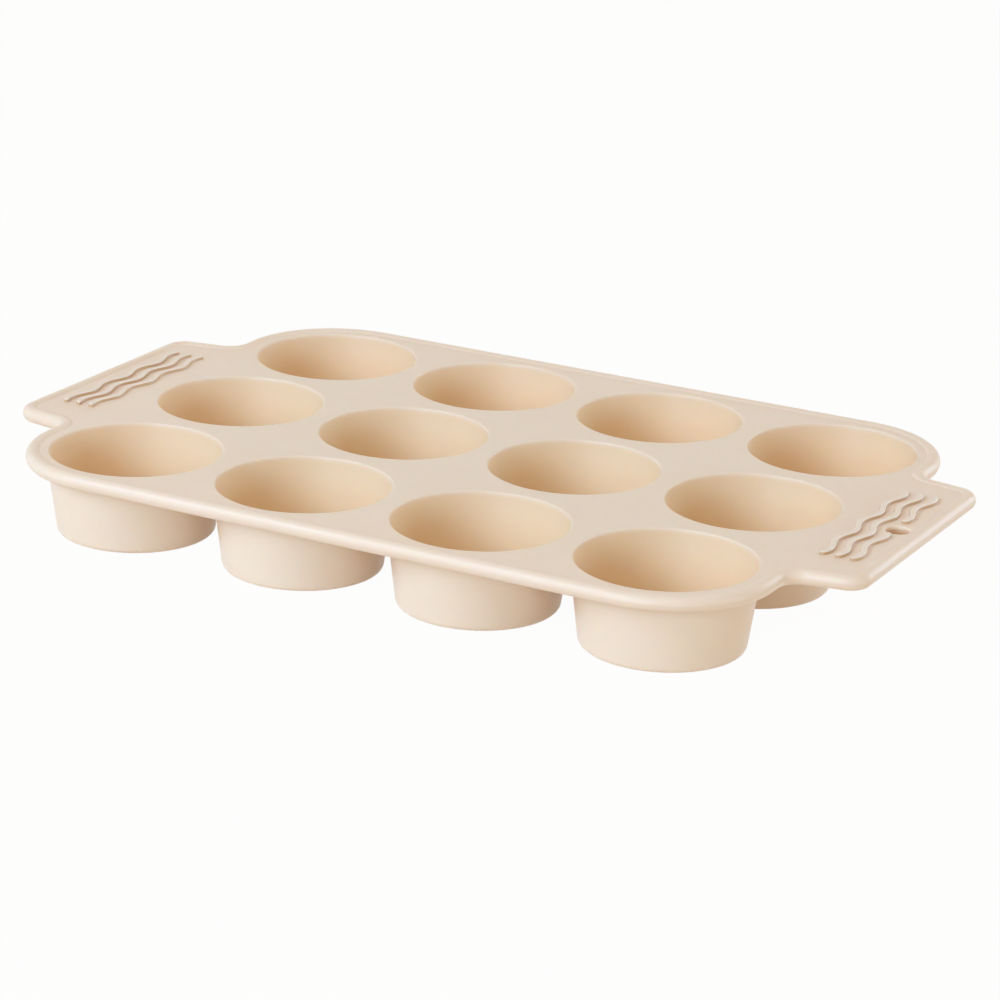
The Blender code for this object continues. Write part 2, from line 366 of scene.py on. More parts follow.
@dataclass(frozen=True)
class Cup:
    """One tapered round cup, turned about its own axis; shares say where the rings of each run lie."""

    deck: Deck = Deck()
    mouth: float = 35.66 * MM
    base: float = 31.28 * MM
    wall: float = 1.4 * MM
    floor: float = 1.6 * MM
    lip_fillet: float = 0.7 * MM
    base_fillet: float = 2.3 * MM
    inner_fillet: float = 2.0 * MM
    under_fillet: float = 0.8 * MM
    hollow_steps: int = 4
    round_steps: int = 5
    floor_shares: Many = (0.0, 0.3, 0.75, 0.97)
    base_shares: Many = (0.0, 0.96)
    wall_shares: Many = (0.04, 0.5, 0.96)
    deck_shares: Many = (0.05, 0.4, 1.0)

    @property
    def slope(self) -> float:
        """How far the wall leans out for each metre of height."""
        return (self.mouth - self.base) / self.deck.top

    def _section(self, shares: Many, corner: np.ndarray, fillet: np.ndarray) -> np.ndarray:
        """A section from the axis out: floor cut at the shares, corner, straight wall, arc at the deck."""
        flat, along = corner[0] * np.stack([shares, np.ones(len(shares))], axis=1), np.array(self.wall_shares)
        return np.concatenate([flat, corner, blend(corner[-1], fillet[0], along[:, None]), fillet])

    def inside(self) -> np.ndarray:
        """Section of the inside, which meets the deck in the round lip.

        Returns:
            Reach and height of each ring as (n, 2), from the middle of the floor to the deck.
        """
        lean = math.atan(self.slope)
        across = self.wall / math.cos(lean)
        floor_reach = self.base - across + self.floor * self.slope
        corner_reach = floor_reach + self.inner_fillet * (self.slope - 1 / math.cos(lean))
        low = (corner_reach, self.floor + self.inner_fillet)
        corner = arc(low, self.inner_fillet, -math.pi / 2, -lean, self.hollow_steps)
        share = math.tan((math.pi / 2 - lean) / 2)
        lip_reach = self.mouth - across + self.lip_fillet * (1 + (share - 1) * self.slope)
        high = (lip_reach, self.deck.top - self.lip_fillet)
        lip = arc(high, self.lip_fillet, math.pi - lean, math.pi / 2, self.round_steps)
        return self._section(self.floor_shares, corner, lip)

    def outside(self) -> np.ndarray:
        """Section of the outside, which meets the deck in a hollow fillet.

        Returns:
            Reach and height of each ring as (n, 2), from the middle of the base to the deck's underside.
        """
        lean = math.atan(self.slope)
        corner_reach = self.base + self.base_fillet * (self.slope - 1 / math.cos(lean))
        foot = (corner_reach, self.base_fillet)
        corner = arc(foot, self.base_fillet, -math.pi / 2, -lean, self.round_steps)
        low = float(self.deck.low(0.0))
        touch = low - self.under_fillet * (1 - math.sin(lean))
        hollow_reach = self.base + touch * self.slope + self.under_fillet * math.cos(lean)
        high = (hollow_reach, low - self.under_fillet)
        fillet = arc(high, self.under_fillet, math.pi - lean, math.pi / 2, self.hollow_steps)
        return self._section(self.base_shares, corner, fillet)

    def tile(self, side: Side, spot: tuple[float, float], edge: np.ndarray) -> np.ndarray:
        """One cup with the piece of deck round it: rings turned about its axis, then drawn out to the edge.

        Args:
            side: Which face of the moulding.
            spot: X and Y of the cup's axis.
            edge: Outline of the piece of deck about the axis, as (around, 2), from -45 degrees on.

        Returns:
            Grid of (rings, around, 3).
        """
        section = self.inside() if side is Side.TOP else self.outside()
        turn = -math.pi / 4 + np.linspace(0.0, 2 * math.pi, len(edge), endpoint=False)
        rings = section[:, 0, None, None] * rays(turn)
        share = np.array(self.deck_shares)[:, None, None]
        plan = np.concatenate([rings, rings[-1] + (edge - rings[-1]) * share])
        height = np.concatenate([section[:, 1], np.full(len(share), section[-1, 1])])
        high = np.broadcast_to(height[:, None, None], plan.shape[:2] + (1,))
        return np.concatenate([plan + np.array(spot), high], axis=2)


@dataclass(frozen=True)
class Ribs:
    """Three wavy raised ribs on a grip tab."""

    reaches: Many = mm(162.5, 168.65, 174.8)
    wave: float = 1.35 * MM
    period: float = 24.2 * MM
    half_length: float = 42.1 * MM
    gap_half: float = 7.3 * MM
    cap: float = 1.32 * MM
    height: float = 1.36 * MM
    crown: float = 0.70 * MM
    shoulder: float = 1.36 * MM
    foot: float = 1.56 * MM
    hollow: float = 0.10 * MM
    offsets: Many = mm(0.0, 0.40, 0.70, 0.95, 1.14, 1.27, 1.36, 1.56)

    def stations(self) -> np.ndarray:
        """Where the grid's columns cross the three ribs, with one more column midway between two ribs.

        Returns:
            X of each column, in order.
        """
        across = both_ways(np.array(self.offsets))
        lines = [reach + across for reach in self.reaches]
        middles = [np.array([(a + b) / 2]) for a, b in zip(self.reaches, self.reaches[1:])]
        return np.concatenate([lines[0], middles[0], lines[1], middles[1], lines[2]])

    def rise(self, straight: np.ndarray, along: np.ndarray, broken: bool) -> np.ndarray:
        """Height of the ribs over the deck.

        The distance d to a rib's middle line is capped by a half circle at each end. A rib is a bar with
        rounded shoulders that stands on a small hollow fillet. Up to the shoulder it is
        hollow + (height - hollow) * sqrt(1 - ((d - crown) / (shoulder - crown))^2) high, and from there to
        the foot hollow * (1 - (d - shoulder) / (foot - shoulder))^2.

        Args:
            straight: X of each point before the wave moves it.
            along: Y of each point.
            broken: Whether the outer rib stops either side of the hanging hole.

        Returns:
            Height of each point over the deck.
        """
        past_end = np.maximum(np.abs(along) - (self.half_length - self.cap), 0.0)
        total = np.zeros_like(straight)
        for reach in self.reaches:
            past = past_end
            if broken and reach == self.reaches[-1]:
                past = np.maximum(past, self.gap_half + self.cap - np.abs(along))
            distance = np.hypot(straight - reach, past)
            turn = np.clip((distance - self.crown) / (self.shoulder - self.crown), 0.0, 1.0)
            bar = self.hollow + (self.height - self.hollow) * np.sqrt(1.0 - turn**2)
            skirt = self.hollow * np.clip((self.foot - distance) / (self.foot - self.shoulder), 0.0, 1.0) ** 2
            total = np.maximum(total, np.where(distance < self.shoulder - 10.0**-DECIMALS, bar, skirt))
        return total


@dataclass(frozen=True)
class HangingHole:
    """Round hole through the right tab: both lips are full and soft and meet at a groove at half depth."""

    deck: Deck = Deck()
    inset: float = 7.9 * MM
    flare: float = 5.4 * MM
    waist: float = 4.6 * MM
    groove: float = 0.3 * MM
    groove_half: float = 0.2 * MM
    block_half: float = 6.3 * MM
    lip_steps: int = 6
    lead_shares: Many = (0.0, 0.45, 0.85)

    def section(self) -> np.ndarray:
        """Section of the hole from the deck down to the underside.

        Each lip is a quarter of an ellipse, (flare + (flare - waist) * cos a, edge + rise * sin a), from the
        tab's face to the groove. The groove is half as high at its bottom as at its mouth.

        Returns:
            Radius and height of each ring as (n, 2).
        """
        top, low = self.deck.top, float(self.deck.low(1.0))
        middle = (top + low) / 2
        rise = top - middle - self.groove_half
        angle = np.linspace(math.pi / 2, math.pi, self.lip_steps + 1)
        unit = np.stack([self.flare + (self.flare - self.waist) * np.cos(angle), np.sin(angle)], axis=1)
        upper = unit * np.array([1.0, rise]) + np.array([0.0, middle + self.groove_half])
        lower = unit[::-1] * np.array([1.0, -rise]) + np.array([0.0, middle - self.groove_half])
        deep = [[self.waist + self.groove, middle + way * self.groove_half] for way in (0.5, -0.5)]
        return np.concatenate([upper, deep, lower])

    def rings(self, x: float, above: np.ndarray, below: np.ndarray) -> np.ndarray:
        """The hole as rings, from its block of the top face through the tab to the block of the underside.

        Args:
            x: X of the hole's axis.
            above: Closed outline of the block on the top face, as (n, 3).
            below: The same on the underside.

        Returns:
            Grid of (rings, n, 3).
        """
        ray = np.pad(rays(np.arctan2(above[:, 1], above[:, 0] - x)), ((0, 0), (0, 1)))
        reach, height = self.section().T[:, :, None, None]
        rings = np.array([x, 0.0, 0.0]) + reach * ray + np.array([0.0, 0.0, 1.0]) * height
        share = np.array(self.lead_shares)[:, None, None]
        lead = above + (rings[0] - above) * share
        tail = rings[-1] + (below - rings[-1]) * (1 - share[::-1])
        return np.concatenate([lead, rings, tail])


@dataclass(frozen=True)
class Handle:
    """One grip tab: its outline in plan, its grid, ribs and, on the right, the hanging hole.

    The grid's columns cross the tab, the lead before the ribs and the tail past them, and its thickness grows
    over the first of them. Rows are closer at the ribs' tips and at the gap for the hole. A row between them
    stays the least step away from these, and the last coarse row the neck step away from the neck.
    """

    deck: Deck = Deck()
    bead: Bead = Bead()
    ribs: Ribs = Ribs()
    hole: HangingHole = HangingHole()
    length: float = 27.45 * MM
    end_half: float = 57.0 * MM
    neck_half: float = 61.8 * MM
    corner_radius: float = 6.2 * MM
    neck_radius: float = 11.0 * MM
    neck_steps: int = 12
    corner_steps: int = 9
    fine_step: float = 0.95 * MM
    least_step: float = 0.3 * MM
    neck_step: float = 1.0 * MM
    thickening: int = 7
    lead_shares: Many = (0.07, 0.2, 0.38, 0.58, 0.8)
    tail_shares: Many = (0.24, 0.45, 0.62, 0.78, 0.91, 1.0)
    tip_rows: Many = mm(-1.4, -0.95, -0.6, -0.35, -0.12, 0.1, 0.35, 0.75)
    gap_rows: Many = mm(-0.36, -0.1, 0.12, 0.65, 1.0, 1.5, 2.2)

    @property
    def end_x(self) -> float:
        """X of the bead's centre line at the handle's end."""
        return self.deck.body_x + self.length

    @property
    def hole_x(self) -> float:
        """X of the hanging hole's axis."""
        return self.end_x - self.hole.inset

    def _side_normal(self) -> np.ndarray:
        """Outward unit vector of the handle's slightly tapered side, in plan."""
        outward = np.array([self.neck_half - self.end_half, self.length])
        return outward / np.hypot(*outward)

    def _neck_centre(self) -> np.ndarray:
        """Centre of the neck's hollow arc, which touches the body's end and the handle's side."""
        normal, x = self._side_normal(), self.deck.body_x + self.neck_radius
        return np.array([x, self.end_half + (self.neck_radius - normal[0] * (x - self.end_x)) / normal[1]])

    @property
    def neck_y(self) -> float:
        """Y where the body's straight end turns into the neck."""
        return float(self._neck_centre()[1])

    def _creases(self, side: Side) -> list[float]:
        """X of the tab's crease at the body and at its end, on one face."""
        ends = ((self.deck.body_x, 0.0), (self.end_x, 1.0))
        return [x - float(self.bead.inset(side, share)) for x, share in ends]

    def columns(self) -> np.ndarray:
        """X of each column of the tab's grid before the wave moves it, from the body to the end crease.

        Returns:
            The values in order.
        """
        first, last = self._creases(Side.TOP)
        ribs = self.ribs.stations()
        lead, tail = blend(first, ribs[0], self.lead_shares), blend(ribs[-1], last, self.tail_shares)
        return np.concatenate([lead, ribs, tail])

    def tab_share(self) -> np.ndarray:
        """How far each column has gone from the body's thickness (0) to the tab's (1)."""
        return smoothstep((np.arange(len(self.columns())) + 1) / self.thickening)

    def edge_line(self) -> tuple[np.ndarray, np.ndarray]:
        """The bead's centre line beside the tab, one point for each column: neck arc, side and corner arc.

        Returns:
            Points and outward normals as (columns, 2), for the half of the tab with Y above zero.
        """
        normal = self._side_normal()
        sweep = math.atan2(normal[1], normal[0])
        neck_normal = rays(sweep * np.arange(1, self.neck_steps + 1) / self.neck_steps)
        neck = self._neck_centre() - self.neck_radius * neck_normal
        x = self.end_x - self.corner_radius
        y = self.end_half - (self.corner_radius + normal[0] * (x - self.end_x)) / normal[1]
        corner_normal = rays(sweep * (1 - np.arange(self.corner_steps + 1) / self.corner_steps))
        corner = np.array([x, y]) + self.corner_radius * corner_normal
        middle = len(self.columns()) - len(neck) - len(corner)
        share = (np.arange(1, middle + 1) / (middle + 1))[:, None]
        side = neck[-1] + (corner[0] - neck[-1]) * share
        points = np.concatenate([neck, side, corner])
        return points, np.concatenate([neck_normal, np.broadcast_to(normal, side.shape), corner_normal])

    def coarse_rows(self) -> np.ndarray:
        """The points that the body's end gives to the tab.

        Returns:
            Y of each, from 0 up to the neck.
        """
        deck, tangents = self.deck, self.deck.tangents()
        outer = deck.pitch - deck.half * tangents[::-1][1:]
        outer = outer[outer < self.neck_y - self.neck_step]
        return np.concatenate([deck.half * tangents, outer, [self.neck_y]])

    @property
    def core_half(self) -> float:
        """Y up to which the rows run straight along the tab."""
        return float(self.deck.pitch - self.deck.half * self.deck.tangents()[-2])

    def rows(self) -> np.ndarray:
        """Rows of the tab's grid at the body: fine over the ribs, coarse past them.

        Returns:
            Y of each, from 0 up to the neck.
        """
        coarse = self.coarse_rows()
        core = coarse[coarse <= self.core_half + TOUCH]
        counts = np.maximum(np.round(np.diff(core) / self.fine_step), 1).astype(int)
        steps = zip(core, core[1:], counts)
        fill = np.concatenate([np.linspace(a, b, n, endpoint=False) for a, b, n in steps])
        tips = self.ribs.half_length + np.array(self.tip_rows)
        gap = self.ribs.gap_half + np.array(self.gap_rows)
        fixed = np.concatenate([core, tips, gap, [self.hole.block_half]])
        free = fill[np.min(np.abs(fill[:, None] - fixed), axis=1) > self.least_step]
        inner = np.unique(np.concatenate([fixed, free]).round(DECIMALS))
        return np.concatenate([inner, coarse[len(core):]])

    def plan(self, side: Side) -> tuple[np.ndarray, np.ndarray]:
        """Plan of the tab's grid for Y at and above zero.

        In the core each point is (column - wave * cos(turns of Y), Y); past the core the rows fan out in
        straight lines to the crease beside the tab. The underside has no wave.

        Args:
            side: Which face of the moulding.

        Returns:
            Points as (columns, rows, 2) and the column's X before the wave as (columns, rows).
        """
        columns, ribs = self.columns(), self.ribs.stations()
        if side is Side.TOP:
            wave = self.ribs.wave * np.clip((columns - columns[0]) / (ribs[0] - columns[0]), 0, 1)
            wave = wave * np.clip((columns[-1] - columns) / (columns[-1] - ribs[-1]), 0, 1)
        else:
            wave = np.zeros_like(columns)
            seam, end = self._creases(Side.TOP)
            first, last = self._creases(side)
            columns = first + (columns - seam) * (last - first) / (end - seam)
        line, normals = self.edge_line()
        crease = line - normals * self.bead.inset(side, self.tab_share())[:, None]
        rows, core = self.rows(), self.core_half
        y = np.broadcast_to(np.minimum(rows, core), (len(columns), len(rows)))
        x = columns[:, None] - wave[:, None] * np.cos(2 * math.pi * y / self.ribs.period)
        fan = np.clip((rows - core) / (rows[-1] - core), 0, 1)
        plan = np.stack([x + (crease[:, :1] - x) * fan, y + (crease[:, 1:] - y) * fan], axis=2)
        return plan, np.broadcast_to(columns[:, None], x.shape)

    def grid(self, side: Side, end: End) -> np.ndarray:
        """The tab's face, mirrored from its upper half and turned to its end.

        Args:
            side: Which face of the moulding.
            end: Which end of the pan.

        Returns:
            Grid of (columns, rows, 3), with rows from the lowest Y to the highest.
        """
        plan, straight = self.plan(side)
        if side is Side.TOP:
            height = self.deck.top + self.ribs.rise(straight, plan[:, :, 1], end is End.RIGHT)
        else:
            height = self.deck.low(self.tab_share())[:, None] + 0 * straight
        upper = np.concatenate([plan, height[:, :, None]], axis=2)
        lower = upper[:, :0:-1] * np.array([1.0, -1.0, 1.0])
        return np.concatenate([lower, upper], axis=1) * np.array([end.value, 1.0, 1.0])


@dataclass(frozen=True)
class Moulding:
    """The whole silicone moulding: cups, deck, rim bead, grip tabs and hanging hole as one closed surface."""

    deck: Deck = Deck()
    bead: Bead = Bead()
    cup: Cup = Cup()
    handle: Handle = Handle()
    name: str = "silicone_moulding"

    def _tile_edge(self, side: Side, column: int, row: int) -> np.ndarray:
        """Outline of the piece of deck that one cup stands in, about the cup's axis.

        Each side is cut by equal turns, so that neighbours share their points. At the pan's four corners the
        outline is an arc inside the bead, and its second point up the body's end lies where the neck starts.

        Args:
            side: Which face of the moulding.
            column: Number of the cup along X.
            row: Number of the cup along Y.

        Returns:
            Points as (4 * side steps, 2), from the turn of -45 degrees on.
        """
        deck = self.deck
        outer = deck.reach - float(self.bead.inset(side, 0.0))
        at_rim = (column == deck.columns - 1, column == 0, row == deck.rows - 1, row == 0)
        east, west, north, south = (outer if last else deck.half for last in at_rim)
        ray = rays(-math.pi / 4 + np.arange(4 * deck.side_steps) * deck.turn)
        c, s = ray.T
        reach_x, reach_y = np.where(c >= 0, east, west), np.where(s >= 0, north, south)
        scale = 1.0 / np.maximum(np.abs(c), np.abs(s))
        edge = np.stack([c * scale * reach_x, s * scale * reach_y], axis=1)
        rounded = np.isclose(reach_x, outer) & np.isclose(reach_y, outer)
        edge[rounded] = outer * ray[rounded]
        if (at_rim[0] or at_rim[1]) and (at_rim[2] or at_rim[3]):
            outward = c if at_rim[0] else -c
            inward = -s if at_rim[2] else s
            neck = np.isclose(np.arctan2(inward, outward), 2 * deck.turn)
            gap = deck.last_y - self.handle.neck_y
            edge[neck, 1] = -gap if at_rim[2] else gap
        return edge

    def _rim_quarter(self) -> tuple[np.ndarray, np.ndarray, np.ndarray]:
        """The bead's centre line where X and Y are above zero, from the handle's end to the long side.

        Returns:
            Points and normals as (n, 2), and each point's tab share.
        """
        deck, handle = self.deck, self.handle
        end_y = handle.plan(Side.TOP)[0][-1, :-1, 1]
        end = np.stack([np.full_like(end_y, handle.end_x), end_y], axis=1)
        line, normals = handle.edge_line()
        body_y = np.array([handle.neck_y, deck.last_y - deck.half * math.tan(deck.turn)])
        body = np.stack([np.full(2, deck.body_x), body_y], axis=1)
        ray = rays(np.linspace(0.0, math.pi / 2, deck.side_steps + 1))
        corner = np.array([deck.last_x, deck.last_y]) + deck.reach * ray
        tangents = deck.tangents()
        x = np.concatenate([
            deck.last_x - deck.half * tangents[1:],
            deck.half + deck.half * tangents[::-1][1:],
            deck.half - deck.half * tangents[1:],
        ])
        long_side = np.stack([x, np.full_like(x, deck.last_y + deck.reach)], axis=1)
        across, along = np.eye(2)
        runs = [(end, across), (line[::-1], normals[::-1]), (body, across), (corner, ray), (long_side, along)]
        points = np.concatenate([run for run, _ in runs])
        outward = np.concatenate([np.broadcast_to(normal, run.shape) for run, normal in runs])
        shares = [np.ones(len(end)), handle.tab_share()[::-1], np.zeros(len(body) + len(corner) + len(x))]
        return points, outward, np.concatenate(shares)

    def _rim(self) -> np.ndarray:
        """The bead carried along the whole rim: the quarter and its mirror images, end to end.

        Returns:
            Closed grid of (section, path, 3).
        """
        points, outward, shares = self._rim_quarter()
        quarters = (
            (slice(None), (1.0, 1.0)),
            (slice(-2, None, -1), (-1.0, 1.0)),
            (slice(1, None), (-1.0, -1.0)),
            (slice(-2, 0, -1), (1.0, -1.0)),
        )
        path, normal = (
            np.concatenate([half[cut] * flip for cut, flip in quarters]) for half in (points, outward)
        )
        reach, height = self.bead.section(np.concatenate([shares[cut] for cut, _ in quarters]))
        return np.concatenate([path + normal * reach[:, :, None], height[:, :, None]], axis=2)

    def _add_tab(self, shell: Shell, end: End) -> None:
        """Adds one grip tab: both faces, the strips that join them to the body, and the hanging hole.

        Args:
            shell: Where the patches go.
            end: Which end of the pan.
        """
        handle = self.handle
        rows, coarse_y = both_ways(handle.rows()), both_ways(handle.coarse_rows())
        marks = np.searchsorted(rows, coarse_y - TOUCH)
        middle_foot = handle.ribs.reaches[1] + handle.ribs.offsets[-1]
        first = int(np.searchsorted(handle.columns(), middle_foot - TOUCH))
        low = int(np.searchsorted(rows, -handle.hole.block_half - TOUCH))
        high = len(rows) - 1 - low
        loops = []
        for side in Side:
            grid = handle.grid(side, end)
            keep = np.ones((grid.shape[0] - 1, grid.shape[1] - 1), dtype=bool)
            if end is End.RIGHT:
                keep[first:, low:high] = False
            shell.add_grid(grid, keep=keep)
            seam = end.value * (self.deck.body_x - float(self.bead.inset(side, 0.0)))
            height = self.deck.top if side is Side.TOP else float(self.deck.low(0.0))
            coarse = np.stack(np.broadcast_arrays(seam, coarse_y, height), axis=1)
            shell.add_zip(coarse, grid[0], marks)
            block = grid[first:, low:high + 1]
            loops.append(np.concatenate([block[:-1, 0], block[-1, :-1], block[:0:-1, -1], block[0, :0:-1]]))
        if end is End.RIGHT:
            shell.add_grid(handle.hole.rings(handle.hole_x, *loops), closed=True)

    def build(self) -> bpy.types.Object:
        """Builds the closed surface, puts it under the root body's empty and hides the CAD tray and cups.

        Returns:
            The moulding's object.
        """
        deck = self.deck
        shell = Shell()
        for column in range(deck.columns):
            for row in range(deck.rows):
                spot = (column * deck.pitch - deck.last_x, row * deck.pitch - deck.last_y)
                for side in Side:
                    edge = self._tile_edge(side, column, row)
                    shell.add_grid(self.cup.tile(side, spot, edge), closed=True)
        shell.add_grid(self._rim(), closed=True)
        for end in End:
            self._add_tab(shell, end)
        thing = shell.to_object(self.name)
        cups = sorted(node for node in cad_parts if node.startswith("cup_"))
        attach(thing, "root")
        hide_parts("tray", *cups)
        return thing


def math_node(operation: str, swapped: bool = False) -> Callable[..., "Tap"]:
    """Makes a method of Tap that adds one Math node.

    Args:
        operation: The node's operation.
        swapped: Whether the tap comes after the other value, as in 1 - tap.

    Returns:
        The method.
    """

    def add(tap: "Tap", *other: Any) -> "Tap":
        """Adds the node on the tap and the other value, if there is one, and gives its output."""
        values = (*other, tap) if swapped else (tap, *other)
        return tap.bench.node("ShaderNodeMath", {"operation": operation}, dict(enumerate(values)))

    return add


class Tap:
    """One node output; plain arithmetic on it adds Math nodes.

    bigger and smaller give the larger and the smaller of two values, size the value without its sign, root
    its square root, and fraction what it has over a whole number.
    """

    def __init__(self, bench: "Bench", socket: bpy.types.NodeSocket) -> None:
        """Keeps the output and the bench that it belongs to."""
        self.bench = bench
        self.socket = socket

    __add__ = __radd__ = math_node("ADD")
    __sub__, __rsub__ = math_node("SUBTRACT"), math_node("SUBTRACT", True)
    __mul__ = __rmul__ = math_node("MULTIPLY")
    __truediv__ = math_node("DIVIDE")
    bigger, smaller = math_node("MAXIMUM"), math_node("MINIMUM")
    size, root, fraction = math_node("ABSOLUTE"), math_node("SQRT"), math_node("FRACT")


class Bench:
    """Makes the nodes of one material or world."""

    def __init__(self, tree: bpy.types.NodeTree) -> None:
        """Empties the tree."""
        tree.nodes.clear()
        self.tree = tree

    def node(self, kind: str, settings: dict[str, Any], sockets: dict[Any, Any], out: Any = 0) -> Tap | None:
        """Adds a node.

        Args:
            kind: Type name of the node.
            settings: Properties, set before the sockets.
            sockets: Values or taps by the socket's name or number.
            out: Name or number of the output wanted.

        Returns:
            The output, or nothing where the node has none.
        """
        made = self.tree.nodes.new(kind)
        for key, value in settings.items():
            setattr(made, key, value)
        for key, value in sockets.items():
            if isinstance(value, Tap):
                self.tree.links.new(value.socket, made.inputs[key])
            else:
                made.inputs[key].default_value = value
        return Tap(self, made.outputs[out]) if len(made.outputs) else None

    def place(self) -> Tap:
        """Object coordinates, in metres."""
        return self.node("ShaderNodeTexCoord", {}, {}, "Object")

    def split(self, vector: Tap) -> list[Tap]:
        """X, Y and Z of a vector."""
        return [self.node("ShaderNodeSeparateXYZ", {}, {0: vector}, part) for part in range(3)]

    def ray(self, *kinds: str) -> Tap:
        """1 for a ray of any of the named kinds, else 0."""
        asked = [self.node("ShaderNodeLightPath", {}, {}, f"Is {kind} Ray") for kind in kinds]
        return reduce(Tap.bigger, asked)

    def noise(self, place: Tap, scale: float, detail: float = 2.0, rough: float = 0.5) -> Tap:
        """Noise of the given scale, from 0 to 1."""
        sockets = {"Vector": place, "Scale": scale, "Detail": detail, "Roughness": rough}
        return self.node("ShaderNodeTexNoise", {}, sockets)

    def ramp(self, value: Tap, low: float, high: float) -> Tap:
        """Soft ramp of a value from 0 at low to 1 at high."""
        sockets = {"Value": value, "From Min": low, "From Max": high}
        return self.node("ShaderNodeMapRange", {"interpolation_type": "SMOOTHSTEP"}, sockets)

    def fade(self, value: Tap, low: float, high: float) -> Tap:
        """Soft ramp of a value from 1 at low to 0 at high."""
        return 1.0 - self.ramp(value, low, high)

    def mix(self, share: Any, first: Any, second: Any) -> Tap:
        """Mixes two colours, which are sockets 6 and 7 of the node; output 2 is their mix."""
        return self.node("ShaderNodeMix", {"data_type": "RGBA"}, {0: share, 6: first, 7: second}, 2)

    def bump(self, height: Tap, distance: float, strength: float, before: Tap | None = None) -> Tap:
        """A bump of the given height, where 1 stands for the distance in metres, on top of one before it."""
        sockets = {"Height": height, "Distance": distance, "Strength": strength}
        return self.node("ShaderNodeBump", {}, {**sockets, "Normal": before} if before else sockets)


@dataclass(frozen=True)
class Finish:
    """What all finishes share: a name, and a material made round a shader of their own."""

    name: str

    def shader(self, bench: Bench) -> Tap:
        """The finish's own shader."""
        raise NotImplementedError(self.name)

    def material(self) -> bpy.types.Material:
        """Builds the material.

        Returns:
            The material.
        """
        material = bpy.data.materials.new(self.name)
        material.use_nodes = True
        bench = Bench(material.node_tree)
        bench.node("ShaderNodeOutputMaterial", {}, {"Surface": self.shader(bench)})
        return material


